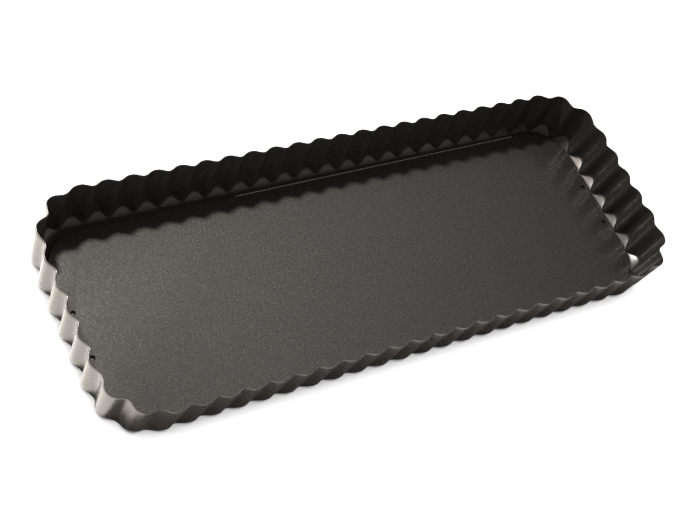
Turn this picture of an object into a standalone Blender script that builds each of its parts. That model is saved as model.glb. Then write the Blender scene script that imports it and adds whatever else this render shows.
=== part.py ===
"""Rectangular fluted tart pan with a loose base.

Two pieces of coated sheet steel. The fluted ring is one pressing: a flat ledge all round
the foot, a sloping foot that rises from the ledge's straight fold line, and a fluted wall
up to a plain cut rim. The loose base is a flat plate that lies on the ledge and is pushed
up out of the ring to unmould a tart.

The origin is under the middle of the ledge, +X runs along the pan and +Z up. Metres.
"""

import math

import bmesh
import bpy
from mathutils import Vector

MM = 0.001

# Fluted ring
RIM_LENGTH = 360.0 * MM  # over the crests of the flutes, outside the sheet
RIM_WIDTH = 129.4 * MM
HEIGHT = 29.0 * MM
SHEET = 0.7 * MM

LONG_FLUTES = 22  # straight flutes on each long side
SHORT_FLUTES = 5  # straight flutes on each short side
CORNER_FLUTES = 2
LONG_PITCH = 14.05 * MM
SHORT_PITCH = 14.2 * MM
FOLD_SHARPNESS = 1.25  # above 1 the crests are broad and the folds between them narrow

# The fold line is where the flat ledge ends and the foot starts to rise. The offsets are
# outwards from it, on the inside of the sheet, as (long side, short side, more in a corner).
RIM_CREST = (5.5 * MM, 6.9 * MM, 0.7 * MM)
RIM_FOLD = (3.4 * MM, 3.9 * MM, -1.0 * MM)
FOOT_CREST = (3.1 * MM, 4.7 * MM, 0.2 * MM)
FOOT_HEIGHT = 4.2 * MM  # the top of the sloping foot, at a crest
LEDGE_WIDTH = 8.5 * MM
FOLD_CORNER_RADIUS = 24.5 * MM

# Loose base
BASE_LENGTH = 341.8 * MM
BASE_WIDTH = 112.9 * MM
BASE_THICKNESS = 0.9 * MM
BASE_CORNER_RADIUS = 24.0 * MM
BASE_EDGE_ROUND = 0.2 * MM
BASE_SHIFT = (1.0 * MM, -1.3 * MM)  # it lies loose, a little off centre
BASE_TURN = math.radians(0.2)
REST_GAP = 0.3 * MM
HOLE_RADIUS = 1.45 * MM
HOLE_INSET = 3.8 * MM  # from the short edge to a hole's centre
HOLE_SPACING = 25.6 * MM
HOLE_SHIFT = -1.1 * MM  # each pair is a little in front of the middle

SAMPLES_PER_FLUTE = 8
CORNER_SEGMENTS = 12
HOLE_SEGMENTS = 16

FOLD_HALF_LENGTH = RIM_LENGTH / 2 - SHEET - RIM_CREST[1]
FOLD_HALF_WIDTH = RIM_WIDTH / 2 - SHEET - RIM_CREST[0]


def clear_scene():
    for obj in list(bpy.data.objects):
        bpy.data.objects.remove(obj, do_unlink=True)


def coated_steel(name, colour, roughness):
    material = bpy.data.materials.new(name)
    material.use_nodes = True
    shader = material.node_tree.nodes["Principled BSDF"]
    shader.inputs["Base Color"].default_value = (*colour, 1.0)
    shader.inputs["Roughness"].default_value = roughness
    shader.inputs["Metallic"].default_value = 0.0
    return material


def object_from(name, mesh_data, material):
    mesh = bpy.data.meshes.new(name)
    mesh_data.to_mesh(mesh)
    mesh_data.free()
    mesh.materials.append(material)
    obj = bpy.data.objects.new(name, mesh)
    bpy.context.scene.collection.objects.link(obj)
    return obj


def corner_point(along, before, arc):
    """The point and outward normal at a distance along the fold line, past the last
    straight flute of the long side, whose straight run still goes on for `before`."""
    centre = Vector((FOLD_HALF_LENGTH - FOLD_CORNER_RADIUS, FOLD_HALF_WIDTH - FOLD_CORNER_RADIUS))
    if along <= before:
        return Vector((centre.x - before + along, FOLD_HALF_WIDTH)), Vector((0.0, 1.0))
    if along >= before + arc:
        return Vector((FOLD_HALF_LENGTH, centre.y - (along - before - arc))), Vector((1.0, 0.0))
    angle = (along - before) / FOLD_CORNER_RADIUS
    normal = Vector((math.sin(angle), math.cos(angle)))
    return centre + FOLD_CORNER_RADIUS * normal, normal


def quarter_fold_line():
    """(point, outward normal, flute phase) from the middle of the back side to the middle
    of the right side. A whole phase is a flute's crest and a half phase a fold."""
    last_long = (LONG_FLUTES - 1) / 2 * LONG_PITCH
    last_short = (SHORT_FLUTES - 1) / 2 * SHORT_PITCH
    stations = []
    for step in range((LONG_FLUTES - 1) * SAMPLES_PER_FLUTE // 2):
        turns = step / SAMPLES_PER_FLUTE
        point = Vector((turns * LONG_PITCH, FOLD_HALF_WIDTH))
        stations.append((point, Vector((0.0, 1.0)), turns - 0.5))

    before = FOLD_HALF_LENGTH - FOLD_CORNER_RADIUS - last_long
    arc = FOLD_CORNER_RADIUS * math.pi / 2
    after = FOLD_HALF_WIDTH - FOLD_CORNER_RADIUS - last_short
    corner_steps = (CORNER_FLUTES + 1) * SAMPLES_PER_FLUTE
    for step in range(corner_steps):
        along = (before + arc + after) * step / corner_steps
        stations.append((*corner_point(along, before, arc), step / SAMPLES_PER_FLUTE))

    for step in range((SHORT_FLUTES - 1) * SAMPLES_PER_FLUTE // 2 + 1):
        turns = step / SAMPLES_PER_FLUTE
        point = Vector((FOLD_HALF_LENGTH, last_short - turns * SHORT_PITCH))
        stations.append((point, Vector((1.0, 0.0)), turns))
    return stations


def whole_fold_line():
    """The quarter mirrored to the front and then to the left, as one closed round."""

    def mirrored(stations, sign):
        return [
            (Vector((p.x * sign.x, p.y * sign.y)), Vector((n.x * sign.x, n.y * sign.y)), phase)
            for p, n, phase in reversed(stations)
        ]

    back_right = quarter_fold_line()
    right_half = back_right + mirrored(back_right[:-1], Vector((1.0, -1.0)))
    return right_half + mirrored(right_half[1:-1], Vector((-1.0, 1.0)))


def side_blend(sizes, normal):
    """A size at a place that faces `normal`: the long side's, the short side's or between
    the two, with the corner's extra at its most half way round."""
    long_side, short_side, corner_extra = sizes
    corner = (2 * normal.x * normal.y) ** 2
    return long_side * normal.y**2 + short_side * normal.x**2 + corner_extra * corner


def wall_line(normal, phase):
    """(offset, slope) of the wall's inside at this place: offset + slope * height."""
    crest = 1.0 - (0.5 - 0.5 * math.cos(2 * math.pi * phase)) ** FOLD_SHARPNESS
    fold_slope = side_blend(RIM_FOLD, normal) / (HEIGHT - SHEET)
    foot_crest = side_blend(FOOT_CREST, normal)
    crest_slope = (side_blend(RIM_CREST, normal) - foot_crest) / (HEIGHT - FOOT_HEIGHT)
    fold_offset = -fold_slope * SHEET
    crest_offset = foot_crest - crest_slope * FOOT_HEIGHT
    slope = fold_slope + (crest_slope - fold_slope) * crest
    return fold_offset + (crest_offset - fold_offset) * crest, slope


def ring_section(point, normal, phase):
    """The inside of the sheet at one station, from the ledge's inner edge to the rim."""
    offset, slope = wall_line(normal, phase)
    foot_slope = (FOOT_HEIGHT - SHEET) / side_blend(FOOT_CREST, normal)
    foot_top = (offset + slope * SHEET) / (1.0 - slope * foot_slope)
    section = (
        (-LEDGE_WIDTH, SHEET),
        (0.0, SHEET),
        (foot_top, SHEET + foot_slope * foot_top),
        (offset + slope * HEIGHT, HEIGHT),
    )
    return [Vector((*(point + out * normal), up)) for out, up in section]


def make_fluted_ring(material):
    sheet = bmesh.new()
    rows = [
        [sheet.verts.new(corner) for corner in ring_section(*station)]
        for station in whole_fold_line()
    ]
    for row, next_row in zip(rows, rows[1:] + rows[:1]):
        for low in range(len(row) - 1):
            sheet.faces.new((row[low], row[low + 1], next_row[low + 1], next_row[low]))
    bmesh.ops.recalc_face_normals(sheet, faces=sheet.faces)
    ring = object_from("fluted_ring", sheet, material)
    if ring.data.polygons[0].normal.z < 0:
        ring.data.flip_normals()
    thickness = ring.modifiers.new("sheet thickness", "SOLIDIFY")
    thickness.thickness = SHEET
    thickness.offset = -1.0
    thickness.use_even_offset = True
    ring.data.shade_smooth()
    ring.data.set_sharp_from_angle(angle=math.radians(30))
    return ring


def rounded_rectangle(inset):
    radius = BASE_CORNER_RADIUS - inset
    centre = Vector((BASE_LENGTH / 2 - BASE_CORNER_RADIUS, BASE_WIDTH / 2 - BASE_CORNER_RADIUS))
    points = []
    for quarter, (side_x, side_y) in enumerate(((1, 1), (-1, 1), (-1, -1), (1, -1))):
        for step in range(CORNER_SEGMENTS + 1):
            angle = math.pi / 2 * (quarter + step / CORNER_SEGMENTS)
            points.append(
                (
                    side_x * centre.x + radius * math.cos(angle),
                    side_y * centre.y + radius * math.sin(angle),
                )
            )
    return points


def make_hole_cutter():
    cutter = bmesh.new()
    for side_x in (-1, 1):
        for side_y in (-1, 1):
            hole = bmesh.ops.create_cone(
                cutter,
                cap_ends=True,
                segments=HOLE_SEGMENTS,
                radius1=HOLE_RADIUS,
                radius2=HOLE_RADIUS,
                depth=4 * BASE_THICKNESS,
            )
            x = side_x * (BASE_LENGTH / 2 - HOLE_INSET)
            y = side_y * HOLE_SPACING / 2 + HOLE_SHIFT
            bmesh.ops.translate(cutter, verts=hole["verts"], vec=(x, y, BASE_THICKNESS / 2))
    mesh = bpy.data.meshes.new("hole_cutter")
    cutter.to_mesh(mesh)
    cutter.free()
    obj = bpy.data.objects.new("hole_cutter", mesh)
    bpy.context.scene.collection.objects.link(obj)
    obj.hide_render = True
    obj.display_type = "WIRE"
    return obj


def make_loose_base(material):
    plate = bmesh.new()
    levels = (
        (BASE_EDGE_ROUND, 0.0),
        (0.0, BASE_EDGE_ROUND),
        (0.0, BASE_THICKNESS - BASE_EDGE_ROUND),
        (BASE_EDGE_ROUND, BASE_THICKNESS),
    )
    rings = [
        [plate.verts.new((x, y, height)) for x, y in rounded_rectangle(inset)]
        for inset, height in levels
    ]
    for lower, upper in zip(rings, rings[1:]):
        for i in range(len(lower)):
            j = (i + 1) % len(lower)
            plate.faces.new((lower[i], lower[j], upper[j], upper[i]))
    plate.faces.new(reversed(rings[0]))
    plate.faces.new(rings[-1])
    base = object_from("loose_base", plate, material)
    cutter = make_hole_cutter()
    holes = base.modifiers.new("hanging holes", "BOOLEAN")
    holes.operation = "DIFFERENCE"
    holes.object = cutter
    base.data.shade_smooth()
    base.data.set_sharp_from_angle(angle=math.radians(30))
    for obj in (base, cutter):
        obj.location = (*BASE_SHIFT, SHEET + REST_GAP)
        obj.rotation_euler = (0.0, 0.0, BASE_TURN)
    return base


def main():
    clear_scene()
    make_fluted_ring(coated_steel("ring coating", (0.022, 0.021, 0.020), 0.38))
    make_loose_base(coated_steel("base coating", (0.060, 0.056, 0.052), 0.42))


main()
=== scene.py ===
"""Looks of the fluted tart pan with a loose base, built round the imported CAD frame.

Both CAD nodes are replaced by finer meshes of the same sizes. The ring's sheet gets rounded
folds and a rounded cut rim. The base gets a rounded edge, worn bare along part of the back,
and rounder holes. Metres.
"""

import math

import bmesh
import bpy
import numpy as np
from mathutils import Matrix, Vector


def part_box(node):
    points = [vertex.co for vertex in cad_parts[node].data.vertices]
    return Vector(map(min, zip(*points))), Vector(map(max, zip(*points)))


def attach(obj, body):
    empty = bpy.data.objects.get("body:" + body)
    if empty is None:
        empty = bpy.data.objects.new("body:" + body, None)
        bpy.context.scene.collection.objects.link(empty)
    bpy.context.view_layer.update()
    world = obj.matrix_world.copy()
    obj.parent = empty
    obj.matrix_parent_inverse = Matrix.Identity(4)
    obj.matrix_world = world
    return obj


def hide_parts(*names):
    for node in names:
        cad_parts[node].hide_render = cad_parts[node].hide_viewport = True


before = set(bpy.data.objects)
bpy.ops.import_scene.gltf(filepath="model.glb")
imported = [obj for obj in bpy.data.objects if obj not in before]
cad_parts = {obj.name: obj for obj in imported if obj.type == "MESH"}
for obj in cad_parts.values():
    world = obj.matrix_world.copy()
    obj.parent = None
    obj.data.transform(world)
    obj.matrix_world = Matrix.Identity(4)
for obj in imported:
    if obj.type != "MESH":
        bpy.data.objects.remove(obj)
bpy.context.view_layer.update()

MM = 0.001

# Fluted ring, as in the CAD
SHEET = 0.7 * MM
LONG_FLUTES = 22
SHORT_FLUTES = 5
CORNER_FLUTES = 2
LONG_PITCH = 14.05 * MM
SHORT_PITCH = 14.2 * MM
FOLD_SHARPNESS = 1.25  # above 1 the crests are broad and the folds between them narrow
RIM_CREST = (5.5 * MM, 6.9 * MM, 0.7 * MM)  # long side, short side, more in a corner
RIM_FOLD = (3.4 * MM, 3.9 * MM, -1.0 * MM)
FOOT_CREST = (3.1 * MM, 4.7 * MM, 0.2 * MM)
FOOT_HEIGHT = 4.2 * MM
LEDGE_WIDTH = 8.5 * MM
FOLD_CORNER_RADIUS = 24.5 * MM

# Loose base, as in the CAD
BASE_LENGTH = 341.8 * MM
BASE_WIDTH = 112.9 * MM
BASE_THICKNESS = 0.9 * MM
BASE_CORNER_RADIUS = 24.0 * MM
BASE_SHIFT = (1.0 * MM, -1.3 * MM)
BASE_TURN = math.radians(0.2)
REST_GAP = 0.3 * MM
HOLE_RADIUS = 1.45 * MM
HOLE_INSET = 3.8 * MM
HOLE_SPACING = 25.6 * MM
HOLE_SHIFT = -1.1 * MM

# Detail of the ring that only the looks have
SAMPLES_PER_FLUTE = 16
LEDGE_POINTS = (0.0, 0.25, 0.5)  # shares of the way from the ledge's inner edge to its fold
FOLD_ROUND = 1.2 * MM  # cut back each way from the fold line, to round it
FOLD_STEPS = 7
ARCH_ROUND = 1.0 * MM  # the same where the foot meets the wall
ARCH_STEPS = 5
MOST_CUT = 0.45  # the largest share of a straight run that one rounding may take
LEAST_FOOT = 0.05 * MM  # how far out the foot runs at a fold, where it all but vanishes
WALL_STEPS = 12
RIM_ROUND = 0.34 * MM
RIM_STEPS = 3  # faces across each half of the rim

# Detail of the base that only the looks have
BASE_LOW_ROUND = 0.2 * MM
BASE_TOP_ROUND = 0.65 * MM
HOLE_ROUND = 0.06 * MM
EDGE_STEPS = 4  # faces across a rounded edge
CORNER_STEPS = 24  # sides round a corner of the base
HOLE_SEGMENTS = 32
BARE_EDGE = (-55.0 * MM, 138.0 * MM)  # where the coating has worn off the base's back edge

# Material slots, after the coating in slot 0
PAINTED_SHADE_LEDGE = 1  # the ring's ledge, under the base, in the near-black painted shade coating that makes the base's holes look dark
CUT_EDGE = 1  # the bare steel of the base's back edge
PAINTED_SHADE_HOLE = 2  # the walls of the base's holes, in the near-black painted shade coating that makes the holes look dark

ring_low, ring_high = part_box("fluted_ring")
HEIGHT = ring_high.z
FOLD_HALF_LENGTH = (ring_high.x - ring_low.x) / 2 - SHEET - RIM_CREST[1]
FOLD_HALF_WIDTH = (ring_high.y - ring_low.y) / 2 - SHEET - RIM_CREST[0]


# ---------------------------------------------------------------- ring shape
def quarter_stations():
    """(point, outward normal, flute phase) along the fold line, from the middle of the back
    side to the middle of the right side. A whole phase is a crest and a half phase a fold."""
    last_long = (LONG_FLUTES - 1) / 2 * LONG_PITCH
    last_short = (SHORT_FLUTES - 1) / 2 * SHORT_PITCH
    centre = Vector((FOLD_HALF_LENGTH - FOLD_CORNER_RADIUS, FOLD_HALF_WIDTH - FOLD_CORNER_RADIUS))
    stations = []
    for step in range((LONG_FLUTES - 1) * SAMPLES_PER_FLUTE // 2):
        turns = step / SAMPLES_PER_FLUTE
        point = Vector((turns * LONG_PITCH, FOLD_HALF_WIDTH))
        stations.append((point, Vector((0.0, 1.0)), turns - 0.5))
    before = centre.x - last_long
    arc = FOLD_CORNER_RADIUS * math.pi / 2
    after = centre.y - last_short
    steps = (CORNER_FLUTES + 1) * SAMPLES_PER_FLUTE
    for step in range(steps):
        along = (before + arc + after) * step / steps
        angle = min(max((along - before) / FOLD_CORNER_RADIUS, 0.0), math.pi / 2)
        normal = Vector((math.sin(angle), math.cos(angle)))
        point = centre + FOLD_CORNER_RADIUS * normal
        point.x -= max(before - along, 0.0)
        point.y -= max(along - before - arc, 0.0)
        stations.append((point, normal, step / SAMPLES_PER_FLUTE))
    for step in range((SHORT_FLUTES - 1) * SAMPLES_PER_FLUTE // 2 + 1):
        turns = step / SAMPLES_PER_FLUTE
        point = Vector((FOLD_HALF_LENGTH, last_short - turns * SHORT_PITCH))
        stations.append((point, Vector((1.0, 0.0)), turns))
    return stations


def all_stations():
    """The stations all the way round, from the quarter and its mirror images."""

    def mirrored(stations, x, y):
        return [
            (Vector((point.x * x, point.y * y)), Vector((normal.x * x, normal.y * y)), phase)
            for point, normal, phase in reversed(stations)
        ]

    quarter = quarter_stations()
    right_half = quarter + mirrored(quarter[:-1], 1, -1)
    return right_half + mirrored(right_half[1:-1], -1, 1)


def side_blend(sizes, normal):
    """One size out of (long side, short side, more in a corner), for a stretch facing `normal`."""
    long_side, short_side, corner_extra = sizes
    corner = (2 * normal.x * normal.y) ** 2
    return long_side * normal.y**2 + short_side * normal.x**2 + corner_extra * corner


def wall_line(normal, phase):
    """(offset, slope) of the wall's inside: offset + slope * height."""
    crest = 1.0 - (0.5 - 0.5 * math.cos(2 * math.pi * phase)) ** FOLD_SHARPNESS
    fold_slope = side_blend(RIM_FOLD, normal) / (HEIGHT - SHEET)
    foot_crest = side_blend(FOOT_CREST, normal)
    crest_slope = (side_blend(RIM_CREST, normal) - foot_crest) / (HEIGHT - FOOT_HEIGHT)
    fold_offset = -fold_slope * SHEET
    crest_offset = foot_crest - crest_slope * FOOT_HEIGHT
    slope = fold_slope + (crest_slope - fold_slope) * crest
    return fold_offset + (crest_offset - fold_offset) * crest, slope


def rounded(start, corner, end, cut, steps):
    """Points of a smooth turn at a corner, cut back at most `cut` each way."""
    before, after = start - corner, end - corner
    near = corner + before * min(cut / before.length, MOST_CUT)
    far = corner + after * min(cut / after.length, MOST_CUT)
    points = []
    for i in range(steps + 1):
        t = i / steps
        points.append(near * (1 - t) ** 2 + corner * (2 * t * (1 - t)) + far * t**2)
    return points


def section(normal, phase):
    """The inside of the sheet as (out, up), from the ledge's inner edge to the rim."""
    offset, slope = wall_line(normal, phase)
    foot_slope = (FOOT_HEIGHT - SHEET) / side_blend(FOOT_CREST, normal)
    foot_run = (offset + slope * SHEET) / (1.0 - slope * foot_slope)
    foot_run = max(foot_run, LEAST_FOOT)
    ledge = Vector((-LEDGE_WIDTH, SHEET))
    fold = Vector((0.0, SHEET))
    arch = Vector((foot_run, SHEET + foot_slope * foot_run))
    rim = Vector((offset + slope * (HEIGHT - RIM_ROUND), HEIGHT - RIM_ROUND))
    points = [ledge.lerp(fold, t) for t in LEDGE_POINTS]
    points += rounded(ledge, fold, arch, FOLD_ROUND, FOLD_STEPS)
    points += rounded(fold, arch, rim, ARCH_ROUND, ARCH_STEPS)
    wall_foot = points[-1]
    points += [wall_foot.lerp(rim, i / WALL_STEPS) for i in range(1, WALL_STEPS + 1)]
    return points


def grid_normals(grid):
    """Unit normals of a grid of points that closes round its first axis."""
    round_way = np.roll(grid, -1, axis=0) - np.roll(grid, 1, axis=0)
    up_way = np.gradient(grid, axis=1)
    normals = np.cross(up_way, round_way)
    return normals / np.linalg.norm(normals, axis=2, keepdims=True)


def make_ring():
    """The sheet: its inside, its back one thickness behind, and a rounded rim between them."""
    inside = np.array(
        [
            [(*(point + normal * out.x), out.y) for out in section(normal, phase)]
            for point, normal, phase in all_stations()
        ]
    )
    normals = grid_normals(inside)
    if normals[0, 0, 2] > 0:
        normals = -normals  # they point out of the back of the sheet
    back = inside + normals * SHEET
    back[:, : len(LEDGE_POINTS), 2] = 0.0
    back[:, -1, 2] = HEIGHT - RIM_ROUND
    across = back[:, -1] - inside[:, -1]
    across[:, 2] = 0
    across /= np.linalg.norm(across, axis=1, keepdims=True)
    up = np.array((0.0, 0.0, 1.0))

    def rim_loop(edge, inwards, angle):
        return edge + inwards * RIM_ROUND * (1 - math.cos(angle)) + up * RIM_ROUND * math.sin(angle)

    angles = [math.pi / 2 * i / RIM_STEPS for i in range(1, RIM_STEPS + 1)]
    rim_inside = [rim_loop(inside[:, -1], across, angle) for angle in angles]
    rim_back = [rim_loop(back[:, -1], -across, angle) for angle in reversed(angles)]
    rows = inside.shape[1]
    loops = [inside[:, i] for i in range(rows)] + rim_inside
    loops += rim_back + [back[:, i] for i in reversed(range(rows))]
    ring = closed_loops("fluted_ring_shown", loops)
    # the ledge gets the near-black painted shade coating, so it reads as shade through the base's
    # holes
    for face in ring.data.polygons[: len(LEDGE_POINTS) * len(inside)]:
        face.material_index = PAINTED_SHADE_LEDGE
    return ring


def closed_loops(name, loops):
    """A mesh through closed loops of points, joined from each to the next and last to first."""
    count = len(loops[0])
    faces = []
    for row in range(len(loops)):
        low, high = row * count, (row + 1) % len(loops) * count
        for i in range(count):
            j = (i + 1) % count
            faces.append((low + i, low + j, high + j, high + i))
    mesh = bpy.data.meshes.new(name)
    mesh.from_pydata(np.concatenate(loops).tolist(), [], faces)
    return shown(name, mesh)


def shown(name, mesh):
    """A smooth object of the mesh, with its faces turned outwards."""
    bm = bmesh.new()
    bm.from_mesh(mesh)
    bmesh.ops.recalc_face_normals(bm, faces=bm.faces)
    bm.to_mesh(mesh)
    bm.free()
    mesh.shade_smooth()
    obj = bpy.data.objects.new(name, mesh)
    bpy.context.scene.collection.objects.link(obj)
    return obj


# ---------------------------------------------------------------- base shape
def base_outline(inset):
    """The base's outline, `inset` inside its edge, with a point at each end of the bare edge."""
    radius = BASE_CORNER_RADIUS - inset
    half = Vector((BASE_LENGTH / 2 - BASE_CORNER_RADIUS, BASE_WIDTH / 2 - BASE_CORNER_RADIUS))
    points = []
    for quarter, (side_x, side_y) in enumerate(((1, 1), (-1, 1), (-1, -1), (1, -1))):
        for step in range(CORNER_STEPS + 1):
            angle = math.pi / 2 * (quarter + step / CORNER_STEPS)
            x = side_x * half.x + radius * math.cos(angle)
            y = side_y * half.y + radius * math.sin(angle)
            points.append((x, y))
        if quarter == 0:
            points += [(x, half.y + radius) for x in reversed(BARE_EDGE)]
    return points


def hole_outline(centre, radius):
    points = []
    for i in range(HOLE_SEGMENTS):
        angle = 2 * math.pi * i / HOLE_SEGMENTS
        points.append((centre[0] + radius * math.cos(angle), centre[1] + radius * math.sin(angle)))
    return points


def edge_rows(low_round, top_round):
    """(cut back, height) of each row of points up an edge that is rounded below and above."""
    rows = []
    for i in range(EDGE_STEPS + 1):
        angle = math.pi / 2 * i / EDGE_STEPS
        rows.append((low_round * (1 - math.sin(angle)), low_round * (1 - math.cos(angle))))
    for i in range(EDGE_STEPS + 1):
        angle = math.pi / 2 * i / EDGE_STEPS
        height = BASE_THICKNESS - top_round * (1 - math.sin(angle))
        rows.append((top_round * (1 - math.cos(angle)), height))
    return rows


def face_with_holes(bm, outer, holes):
    edges = []
    for loop in [outer, *holes]:
        for a, b in zip(loop, loop[1:] + loop[:1]):
            edges.append(bm.edges.get((a, b)) or bm.edges.new((a, b)))
    bmesh.ops.triangle_fill(bm, use_beauty=True, use_dissolve=False, edges=edges)


def make_base():
    """The plate: a wall up its edge and one up each hole, closed below and above."""
    bm = bmesh.new()

    def wall(outlines, heights):
        return [[bm.verts.new((x, y, z)) for x, y in line] for line, z in zip(outlines, heights)]

    insets, heights = zip(*edge_rows(BASE_LOW_ROUND, BASE_TOP_ROUND))
    walls = [wall([base_outline(inset) for inset in insets], heights)]
    insets, heights = zip(*edge_rows(HOLE_ROUND, HOLE_ROUND))
    for side_x in (-1, 1):
        for side_y in (-1, 1):
            x = side_x * (BASE_LENGTH / 2 - HOLE_INSET)
            y = side_y * HOLE_SPACING / 2 + HOLE_SHIFT
            outlines = [hole_outline((x, y), HOLE_RADIUS + inset) for inset in insets]
            walls.append(wall(outlines, heights))

    bare = CORNER_STEPS + 1  # the side of the outline from one end of the bare edge to the other
    for rows in walls:
        for level, (low, high) in enumerate(zip(rows, rows[1:])):
            for i in range(len(low)):
                j = (i + 1) % len(low)
                face = bm.faces.new((low[i], low[j], high[j], high[i]))
                # the hole walls get the near-black painted shade coating, so the holes look dark
                if rows is not walls[0]:
                    face.material_index = PAINTED_SHADE_HOLE
                elif level >= EDGE_STEPS and i == bare:
                    face.material_index = CUT_EDGE
    for end in (0, -1):
        face_with_holes(bm, walls[0][end], [rows[end] for rows in walls[1:]])
    mesh = bpy.data.meshes.new("loose_base_shown")
    bm.to_mesh(mesh)
    bm.free()
    place = Matrix.Translation((*BASE_SHIFT, SHEET + REST_GAP))
    mesh.transform(place @ Matrix.Rotation(BASE_TURN, 4, "Z"))
    return shown("loose_base_shown", mesh)


# ---------------------------------------------------------------- materials
COATINGS = {  # dark shade, light shade, roughness, height of the grain
    "ring coating": ((0.013, 0.0119, 0.0108), (0.028, 0.0257, 0.0233), 0.3, 0.006 * MM),
    "base coating": ((0.015, 0.0137, 0.0124), (0.034, 0.0311, 0.0283), 0.25, 0.004 * MM),
    # painted shade: a near-black coating on the ledge and hole walls that stands in for the shade
    # seen down the base's holes
    "painted shade coating": ((0.003, 0.0027, 0.0024), (0.008, 0.0073, 0.0066), 0.6, 0.03 * MM),
}
COATING_NOISE_ROUGHNESS = 0.6
SPECKLE_SCALE = 1500.0  # under a millimetre from one fleck to the next
SPECKLE_STOPS = (0.36, 0.62, 0.74)  # where the dark shade, the light shade and the flecks lie
FLECK_GAIN = 2.2  # a fleck's brightness over the light shade's
GLOSS_SCALE = 900.0
GLOSS_CHANGE = 0.05  # either way from a coating's roughness
GRAIN_SCALE = 1300.0
GRAIN_STRENGTH = 0.5
COATING_IOR = 1.5
WARM_GLOSS = (1.0, 0.92, 0.85)

BARE_STEEL = ((0.60, 0.55, 0.49), (0.90, 0.84, 0.76))
BARE_STEEL_SCALE = 700.0
BARE_STEEL_ROUGHNESS = 0.8
EVEN_STOPS = (0.3, 0.7)


def new_material(name):
    material = bpy.data.materials.new(name)
    material.use_nodes = True
    return material, material.node_tree.nodes["Principled BSDF"]


def noise(material, scale, detail, roughness):
    """A noise's value over the object's own coordinates."""
    nodes, links = material.node_tree.nodes, material.node_tree.links
    node = nodes.new("ShaderNodeTexNoise")
    node.inputs["Scale"].default_value = scale
    node.inputs["Detail"].default_value = detail
    node.inputs["Roughness"].default_value = roughness
    links.new(nodes.new("ShaderNodeTexCoord").outputs["Object"], node.inputs["Vector"])
    return node.outputs["Fac"]


def ramp(material, value, places, shades):
    """A colour that runs through the shades as the value passes the places."""
    node = material.node_tree.nodes.new("ShaderNodeValToRGB")
    material.node_tree.links.new(value, node.inputs["Fac"])
    elements = node.color_ramp.elements
    while len(elements) < len(places):
        elements.new(0.5)
    for element, place, shade in zip(elements, places, shades):
        element.position = place
        element.color = (*shade, 1.0)
    return node.outputs["Color"]


def coating(name):
    """Dark non-stick coating, or the near-black painted shade: a fine speckle in colour and gloss
    over a pebbly surface.
    """
    dark, light, roughness, grain = COATINGS[name]
    material, shader = new_material(name)
    links = material.node_tree.links

    speckle = noise(material, SPECKLE_SCALE, 2.0, COATING_NOISE_ROUGHNESS)
    fleck = tuple(FLECK_GAIN * channel for channel in light)
    colour = ramp(material, speckle, SPECKLE_STOPS, (dark, light, fleck))
    links.new(colour, shader.inputs["Base Color"])

    gloss = noise(material, GLOSS_SCALE, 2.0, COATING_NOISE_ROUGHNESS)
    levels = ((roughness - GLOSS_CHANGE,) * 3, (roughness + GLOSS_CHANGE,) * 3)
    links.new(ramp(material, gloss, EVEN_STOPS, levels), shader.inputs["Roughness"])

    bump = material.node_tree.nodes.new("ShaderNodeBump")
    bump.inputs["Strength"].default_value = GRAIN_STRENGTH
    bump.inputs["Distance"].default_value = grain
    links.new(noise(material, GRAIN_SCALE, 3.0, COATING_NOISE_ROUGHNESS), bump.inputs["Height"])
    links.new(bump.outputs["Normal"], shader.inputs["Normal"])

    shader.inputs["Metallic"].default_value = 0.0
    shader.inputs["IOR"].default_value = COATING_IOR
    shader.inputs["Specular Tint"].default_value = (*WARM_GLOSS, 1.0)
    return material


def bare_steel():
    """Steel where the coating has worn off a stamped edge, dulled by tiny burrs."""
    material, shader = new_material("cut edge")
    burrs = noise(material, BARE_STEEL_SCALE, 2.0, 0.5)
    shade = ramp(material, burrs, EVEN_STOPS, BARE_STEEL)
    material.node_tree.links.new(shade, shader.inputs["Base Color"])
    shader.inputs["Metallic"].default_value = 1.0
    shader.inputs["Roughness"].default_value = BARE_STEEL_ROUGHNESS
    return material


# ---------------------------------------------------------------- stage
FLOOR_SIZE = 4.0
FLOOR_ROUGHNESS = 0.9
PAPER_WHITE = (0.9, 0.9, 0.9)
PAPER_RISE = 0.1 * MM  # the paper lies just above the table
TABLE_WHITE = (0.3, 0.283, 0.266)

KEY_SIZE = 0.09
PAN_KEY_PLACE = Vector((-0.309, 0.555, 0.806))
PAN_KEY_AIM = Vector((-0.1, -0.02, 0.0))
PAN_KEY_SPREAD = math.radians(40)  # a narrow beam, brightest at the pan's left end
PAN_KEY_POWER = 1.8
TABLE_KEY_PLACE = Vector((-0.309, 0.5, 0.84))
TABLE_KEY_POWER = 135.0
PAPER_LIGHT_PLACE = Vector((-0.3, 0.5, 4.0))
PAPER_LIGHT_SIZE = 5.0
PAPER_LIGHT_POWER = 480.0

HORIZON_LEVEL = 1.0
ZENITH_LEVEL = 0.3
SKY_FADE = (0.1, 0.6)  # heights on a unit sphere where the sky starts and stops darkening


def make_plane(name, height, shade):
    mesh = bpy.data.meshes.new(name)
    half = FLOOR_SIZE / 2
    corners = ((-half, -half), (half, -half), (half, half), (-half, half))
    mesh.from_pydata([(x, y, height) for x, y in corners], [], [(0, 1, 2, 3)])
    material, shader = new_material(name)
    shader.inputs["Base Color"].default_value = (*shade, 1.0)
    shader.inputs["Roughness"].default_value = FLOOR_ROUGHNESS
    mesh.materials.append(material)
    plane = bpy.data.objects.new(name, mesh)
    bpy.context.scene.collection.objects.link(plane)
    return plane


def make_floor():
    """The paper that the camera sees, and the table that the pan is lit by and mirrors."""
    paper = make_plane("paper", PAPER_RISE, PAPER_WHITE)
    paper.visible_diffuse = paper.visible_glossy = False
    paper.visible_transmission = paper.visible_shadow = False
    table = make_plane("table", 0.0, TABLE_WHITE)
    table.visible_camera = False
    return paper, table


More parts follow.
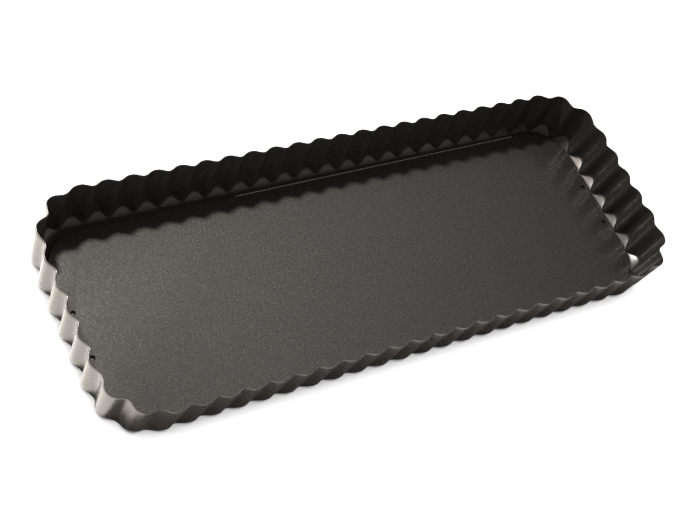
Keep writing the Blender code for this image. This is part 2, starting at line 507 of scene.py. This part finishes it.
def make_light(name, place, size, power, lit, aim=Vector(), spread=math.pi):
    """A round soft lamp that lights only the objects in `lit`, though anything shades it."""
    lamp = bpy.data.lights.new(name, "AREA")
    lamp.shape = "DISK"
    lamp.size = size
    lamp.energy = power
    lamp.spread = spread
    obj = bpy.data.objects.new(name, lamp)
    obj.location = place
    obj.rotation_euler = (aim - place).to_track_quat("-Z", "Y").to_euler()
    bpy.context.scene.collection.objects.link(obj)
    receivers = bpy.data.collections.new(name + " lights")
    for receiver in lit:
        receivers.objects.link(receiver)
    obj.light_linking.receiver_collection = receivers


def make_sky():
    """A plain white surround, brighter near the horizon than overhead."""
    world = bpy.data.worlds.new("studio")
    bpy.context.scene.world = world
    world.use_nodes = True
    nodes, links = world.node_tree.nodes, world.node_tree.links
    background = nodes.get("Background") or nodes.new("ShaderNodeBackground")
    height = nodes.new("ShaderNodeSeparateXYZ")
    links.new(nodes.new("ShaderNodeTexCoord").outputs["Generated"], height.inputs["Vector"])
    level = nodes.new("ShaderNodeMapRange")
    level.interpolation_type = "SMOOTHSTEP"
    level.inputs["From Min"].default_value, level.inputs["From Max"].default_value = SKY_FADE
    level.inputs["To Min"].default_value = HORIZON_LEVEL
    level.inputs["To Max"].default_value = ZENITH_LEVEL
    links.new(height.outputs["Z"], level.inputs["Value"])
    links.new(level.outputs["Result"], background.inputs["Strength"])
    background.inputs["Color"].default_value = (1.0, 1.0, 1.0, 1.0)


# ---------------------------------------------------------------- camera
CAMERA_AIM = Vector((-0.0059, 0.0025, 0.0))
CAMERA_DISTANCE = 0.8135
CAMERA_AZIMUTH = math.radians(-55.99)  # 0 stands in front of the pan, and -90 to its left
CAMERA_ELEVATION = math.radians(50.89)
CAMERA_ROLL = math.radians(34.988)
CAMERA_LENS = 77.068  # millimetres, as is the sensor's width
CAMERA_SENSOR = 36.0
CAMERA_CLIP = (0.01, 20.0)


def make_camera():
    data = bpy.data.cameras.new("camera")
    data.lens = CAMERA_LENS
    data.sensor_width = CAMERA_SENSOR
    data.clip_start, data.clip_end = CAMERA_CLIP
    obj = bpy.data.objects.new("camera", data)
    level = math.cos(CAMERA_ELEVATION)
    back = Vector(
        (
            math.sin(CAMERA_AZIMUTH) * level,
            -math.cos(CAMERA_AZIMUTH) * level,
            math.sin(CAMERA_ELEVATION),
        )
    )
    look = (-back).to_track_quat("-Z", "Y").to_matrix() @ Matrix.Rotation(CAMERA_ROLL, 3, "Z")
    obj.matrix_world = Matrix.Translation(CAMERA_AIM + back * CAMERA_DISTANCE) @ look.to_4x4()
    bpy.context.scene.collection.objects.link(obj)
    bpy.context.scene.camera = obj


def main():
    scene = bpy.context.scene
    scene.view_settings.view_transform = "Standard"
    scene.cycles.blur_glossy = 0.0  # keeps the light that the flutes throw on the base sharp
    make_camera()
    make_sky()
    paper, table = make_floor()
    # near-black painted shade for the ledge and the hole walls, so the base's holes look dark
    painted_shade = coating("painted shade coating")

    ring = make_ring()
    ring.data.materials.append(coating("ring coating"))
    ring.data.materials.append(painted_shade)
    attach(ring, "ring")
    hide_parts("fluted_ring")

    base = make_base()
    base.data.materials.append(coating("base coating"))
    base.data.materials.append(bare_steel())
    base.data.materials.append(painted_shade)
    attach(base, "base")
    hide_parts("loose_base")

    pan = (ring, base)
    make_light("pan key", PAN_KEY_PLACE, KEY_SIZE, PAN_KEY_POWER, pan, PAN_KEY_AIM, PAN_KEY_SPREAD)
    make_light("table key", TABLE_KEY_PLACE, KEY_SIZE, TABLE_KEY_POWER, (table,))
    make_light("paper light", PAPER_LIGHT_PLACE, PAPER_LIGHT_SIZE, PAPER_LIGHT_POWER, (paper,))


main()
